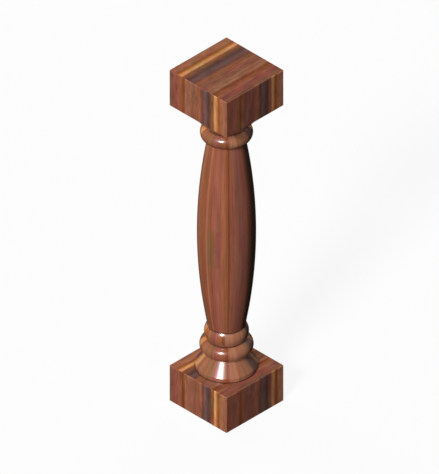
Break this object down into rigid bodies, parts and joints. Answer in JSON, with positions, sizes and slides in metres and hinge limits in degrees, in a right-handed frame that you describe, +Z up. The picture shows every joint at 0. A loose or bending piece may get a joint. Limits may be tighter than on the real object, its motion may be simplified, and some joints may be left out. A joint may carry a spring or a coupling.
{
  "type": "wooden baluster",
  "caption": "Turned wooden baluster with square ends, a sloping foot, rounded beads and a swelling shaft; it stands on a floor or kerb and carries the handrail of a balustrade.",
  "frame": {"origin": "centre of the square underside, on the surface that the baluster stands on", "axes": "+Z up along the turning axis, +X and +Y square to the sides of the square ends"},
  "size_m": [0.15, 0.15, 0.75],
  "materials": {
    "polished_wood": "streaked red-brown hardwood under clear gloss varnish"
  },
  "bodies": {
    "root": {"baluster": "polished_wood"}
  },
  "joints": []
}
